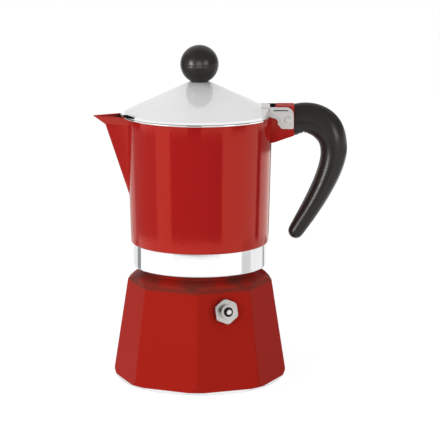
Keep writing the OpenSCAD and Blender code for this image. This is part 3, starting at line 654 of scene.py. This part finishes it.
def handleSections():
    steps, tipSteps = handle["steps"], handle["tipSteps"]
    point, angle = handlePlace(0)
    sections = [(point - heading(angle) * handle["behind"], angle, *handleSize(0))]
    sections += [(*handlePlace(i / steps), *handleSize(i / steps)) for i in range(steps + 1)]
    point, angle, depth, width = sections[-1]
    for i in range(1, tipSteps + 1):  # the tip is rounded nearly to a point
        turn = math.radians(84 * i / tipSteps)
        ahead = heading(angle) * handle["tip"] / 2 * math.sin(turn)
        sections.append((point + ahead, angle, depth * math.cos(turn), width * math.cos(turn)))
    return sections


def cutHandle(piece):
    start, tongueZ = handle["start"], handle["tongueZ"]
    length, width, height = handle["tongue"]
    combine(piece, block("socket", (start - 1, -width / 2, tongueZ - height / 2),
                         (start + length, width / 2, tongueZ + height / 2)))
    frontLow, frontHigh = handle["front"]
    combine(piece, block("front", (start + frontLow[0], *frontLow[1:]), (start + frontHigh[0], *frontHigh[1:])))
    for radius, top in handle["screwHoles"]:
        low = handle["screwLow"]
        drill(piece, radius, top - low, (handle["screwX"], 0, (top + low) / 2))


def makeHandle():
    sections = handleSections()
    point, angle, depth, width = sections[0]
    centre = (point.x * mm, 0, point.y * mm)
    bpy.ops.object.select_all(action="DESELECT")
    bpy.ops.mesh.primitive_circle_add(vertices=24, radius=0.5, fill_type="NGON", rotation=(0, math.pi / 2, 0),
                                      location=centre)
    piece = bpy.context.object
    piece.name = "curvedHandle"
    piece.scale = (depth * mm, width * mm, 1)
    bpy.ops.object.transform_apply(location=True, rotation=True, scale=True)
    bpy.ops.object.mode_set(mode="EDIT")
    bpy.ops.mesh.select_all(action="SELECT")
    bpy.ops.transform.rotate(value=math.radians(angle), orient_axis="Y", center_override=centre)
    for before, after in zip(sections, sections[1:]):
        extrudeSection(before, after)
    closeShape()
    applyModifier(piece, "SUBSURF", levels=1, render_levels=1)
    cutHandle(piece)
    finishPiece(piece, "blackPlastic", "jug", ["handle"], 40)
    piece.visible_glossy = False


# the valve's spring is shut between the seal and the bush; it is made at one length, though in the pot it
# shortens as the valve lifts
spring = {"coil": 1.925, "wire": 0.225, "low": -3.02, "high": 3.12, "turns": 5, "lift": 1.6}


def makeSpring():
    wire, length = spring["wire"], spring["high"] - spring["low"]
    bpy.ops.object.select_all(action="DESELECT")
    bpy.ops.mesh.primitive_circle_add(vertices=8, radius=wire * mm, rotation=(math.pi / 2, 0, 0),
                                      location=metres((spring["coil"], 0, spring["low"] + wire)))
    piece = bpy.context.object
    piece.name = "valveCoil"
    bpy.ops.object.transform_apply(location=True, rotation=True, scale=True)
    applyModifier(piece, "SCREW", axis="Z", steps=24, render_steps=24, iterations=spring["turns"],
                  screw_offset=(length - 2 * wire) / spring["turns"] * mm)
    pick(piece)
    bpy.ops.object.mode_set(mode="EDIT")
    bpy.ops.mesh.select_all(action="SELECT")
    bpy.ops.mesh.fill_holes(sides=0)
    closeShape()
    direction = Vector(valve["direction"])
    piece.rotation_euler = direction.to_track_quat("Z", "Y").to_euler()
    piece.location = valve["facet"]
    bpy.ops.object.transform_apply(location=True, rotation=True, scale=True)
    finishPiece(piece, "springSteel", "boiler", ["valve_spring"], 50)
    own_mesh(piece)


makeKnob()
makeSpring()
makeLid()
makeHingePlate()
makeHandle()
print("pieces ready")


# floor, camera, light and world, in metres

floor = {"size": 12, "height": -0.0002, "colour": (0.93, 0.93, 0.93, 1), "roughness": 0.9, "glow": 1.16,
         "shadowShare": 0.26}


def studioWhite():
    # plain white where it is seen, apart from a share that keeps the pot's shadow
    material, shader = newMaterial("floorWhite")
    setSockets(shader, {"Base Color": floor["colour"], "Roughness": floor["roughness"], "Specular IOR Level": 0})
    glow = addNode(shader, "ShaderNodeEmission", {"Color": white, "Strength": floor["glow"]})
    path = addNode(shader, "ShaderNodeLightPath")
    seen = maths(shader, "MAXIMUM", path.outputs["Is Camera Ray"], path.outputs["Is Glossy Ray"])
    seen = maths(shader, "MAXIMUM", seen, path.outputs["Is Transmission Ray"])
    share = multiply(shader, seen, 1 - floor["shadowShare"])
    blend = addNode(shader, "ShaderNodeMixShader", {0: share, 1: shader.outputs[0], 2: glow.outputs[0]})
    plug(shader, blend.outputs[0], material.node_tree.nodes["Material Output"].inputs["Surface"])
    return material


bpy.ops.object.select_all(action="DESELECT")
bpy.ops.mesh.primitive_plane_add(size=floor["size"], location=(0, 0, floor["height"]))
floorPlane = bpy.context.object
floorPlane.name = "floor"
floorPlane.data.materials.append(studioWhite())

cameraView = {"place": (0.01027, -1.4, 0.35791), "pitch": 0.19528, "lens": 231.24, "clip": (0.05, 50)}
bpy.ops.object.camera_add(location=cameraView["place"], rotation=(math.pi / 2 - cameraView["pitch"], 0, 0))
camera = bpy.context.object
camera.name = "camera"
camera.data.lens = cameraView["lens"]
camera.data.clip_start, camera.data.clip_end = cameraView["clip"]
scene.camera = camera

# curved cards stand in a ring round the pot and are seen only in its gloss: the lowest row in the band, the next
# in the jug, the highest in the lid's lip. Each runs over its range in degrees, 0 towards the camera
ring = {"radius": 0.15, "low": 0.001, "high": 0.106, "step": 3}
cards = {
    "bandFront": {"range": (-112, 70), "glow": 1.38, "high": 0.0458},
    "bandGrey": {"range": (70, 90), "glow": 0.85, "high": 0.0445},
    "bandRight": {"range": (90, 130), "glow": 1.12, "high": 0.0445},
    "bandRightLine": {"range": (130, 138), "glow": 0.4, "high": 0.0445},
    "bandRear": {"range": (138, 235), "glow": 1.0, "high": 0.0445},
    "bandLeftLine": {"range": (-125, -112), "glow": 0.35, "high": 0.0445},
    "jugLeftRear": {"range": (-150, -120), "glow": 0.9, "low": 0.0445},
    "jugLeftSide": {"range": (-120, -66), "glow": 0.40, "low": 0.0458},
    "jugLeft": {"range": (-66, -42), "glow": 1.2, "low": 0.0458},
    "jugFront": {"range": (-42, 33), "glow": 0.12, "low": 0.0458},
    "jugRight": {"range": (33, 96), "glow": 1.3, "low": 0.0458},
    "jugRightLine": {"range": (96, 105), "glow": 0.05, "low": 0.0445},
    "jugRightEdge": {"range": (105, 150), "glow": 1.45, "low": 0.0445, "high": 0.092},
    "jugRightDusk": {"range": (105, 150), "glow": 0.3, "low": 0.092},
    "jugRearDark": {"range": (150, 180), "glow": 0.0, "low": 0.0445},
    "jugRear": {"range": (180, 210), "glow": 0.8, "low": 0.0445},
    "lipLeftDark": {"range": (-121, -97), "glow": 0.0, "low": 0.106, "high": 0.16},
    "lipLeft": {"range": (-97, -16), "glow": 1.4, "low": 0.106, "high": 0.135},
    "lipMiddleDark": {"range": (-16, 3), "glow": 0.1, "low": 0.106, "high": 0.13},
    "lipMiddle": {"range": (3, 46), "glow": 1.4, "low": 0.106, "high": 0.135},
    "lipRightDark": {"range": (46, 70), "glow": 0.15, "low": 0.106, "high": 0.13},
    "lipRight": {"range": (70, 210), "glow": 1.2, "low": 0.106, "high": 0.135},
    "lipRear": {"range": (-150, -121), "glow": 1.2, "low": 0.106, "high": 0.135},
}
# flat cards: a dark one over the spout, and pale ones over and behind the pot
flatCards = {
    "spoutCard": {"centre": (-0.0605, 0.03, 0.150), "turn": math.pi / 2, "size": 0.030, "glow": 0.0},
    "overheadCard": {"centre": (0, 0.66, 0.60), "turn": 0, "size": 1.1, "glow": 0.95},
    "rearCard": {"centre": (0, 0.25, 0.37), "turn": math.pi / 2, "size": 0.47, "glow": 0.95},
}


def glowing(piece, strength):
    material, shader = newMaterial(piece.name)
    setSockets(shader, {"Base Color": black, "Specular IOR Level": 0, "Emission Color": white,
                        "Emission Strength": strength})
    piece.data.materials.append(material)
    piece.visible_camera = False
    piece.visible_diffuse = False
    piece.visible_shadow = False
    piece.visible_transmission = False


for name, card in cards.items():
    start, end = (math.radians(a) for a in card["range"])
    low, high = card.get("low", ring["low"]), card.get("high", ring["high"])
    steps = max(2, int(math.degrees(end - start) / ring["step"]))
    radius = ring["radius"] / mm
    piece = startPoint(name, radius * math.sin(start), -radius * math.cos(start), low / mm)
    bpy.ops.mesh.extrude_region_move(TRANSFORM_OT_translate={"value": (0, 0, high - low)})
    bpy.ops.mesh.select_all(action="SELECT")
    bpy.ops.mesh.spin(steps=steps, angle=start - end, center=(0, 0, 0), axis=(0, 0, 1))
    bpy.ops.object.mode_set(mode="OBJECT")
    glowing(piece, card["glow"])

for name, card in flatCards.items():
    bpy.ops.object.select_all(action="DESELECT")
    bpy.ops.mesh.primitive_plane_add(size=card["size"], location=card["centre"], rotation=(card["turn"], 0, 0))
    bpy.context.object.name = name
    glowing(bpy.context.object, card["glow"])


lampTargets = {"pot": (0, 0, 0.08), "grip": (0.03, 0, 0.12)}


def addLamp(name, lamp, spot, target):
    aim = (Vector(target) - Vector(spot)).to_track_quat("-Z", "Y").to_euler()
    bpy.ops.object.light_add(type="AREA", location=spot, rotation=aim)
    light = bpy.context.object
    light.name = name
    light.data.shape = "RECTANGLE"
    light.data.size, light.data.size_y = lamp["size"]
    light.data.energy = lamp["power"]
    return light


# soft boxes that light everything but show in no gloss
softBoxes = {
    "leftBox": {"azimuth": -66, "height": 0.75, "distance": 1.5, "size": (0.6, 1.3), "power": 8.2},
    "rightBox": {"azimuth": 55, "height": 0.70, "distance": 1.5, "size": (0.6, 1.3), "power": 3.8},
    "topBox": {"azimuth": 10, "height": 1.9, "distance": 0.3, "size": (1.4, 1.4), "power": 5.0},
    "frontBox": {"azimuth": -26, "height": 0.42, "distance": 1.6, "size": (0.45, 0.45), "power": 6.0},
}
for name, lamp in softBoxes.items():
    turn = math.radians(lamp["azimuth"])
    spot = (lamp["distance"] * math.sin(turn), -lamp["distance"] * math.cos(turn), lamp["height"])
    light = addLamp(name, lamp, spot, lampTargets["pot"])
    light.visible_glossy = False

# three lamps that show only in the gloss of the black plastic, the last one only in the knob's
plasticLamps = {
    "plasticLeft": {"place": (-1.14, -0.92, 0.30), "size": (0.26, 0.60), "power": 27.0},
    "plasticRight": {"place": (0.95, -1.10, 0.40), "size": (0.50, 0.50), "power": 10.0},
    "knobFront": {"place": (-0.05, -1.55, 0.32), "size": (0.75, 0.75), "power": 16.0},
}
blackPieces, knobOnly = (bpy.data.collections.new(name) for name in ("blackPieces", "knobOnly"))
blackPieces.objects.link(bpy.data.objects["curvedHandle"])
for collection in (blackPieces, knobOnly):
    collection.objects.link(bpy.data.objects["ballKnob"])
for name, lamp in plasticLamps.items():
    light = addLamp(name, lamp, lamp["place"], lampTargets["grip"])
    light.visible_diffuse = False
    light.light_linking.receiver_collection = knobOnly if name == "knobFront" else blackPieces
    light.light_linking.blocker_collection = blackPieces

studio = {"light": 0.5, "gloss": 0.25, "seen": 1.02}  # the world's strength as light, in gloss and behind the pot
world = bpy.data.worlds.new("studio")
scene.world = world
world.use_nodes = True
sky = world.node_tree.nodes["Background"]
setSockets(sky, {"Color": white})
path = addNode(sky, "ShaderNodeLightPath").outputs
seen = maths(sky, "MAXIMUM", path["Is Camera Ray"], path["Is Transmission Ray"])
unseen = mixValues(sky, path["Is Glossy Ray"], studio["light"], studio["gloss"])
plug(sky, mixValues(sky, seen, unseen, studio["seen"]), sky.inputs["Strength"])
print("studio ready")
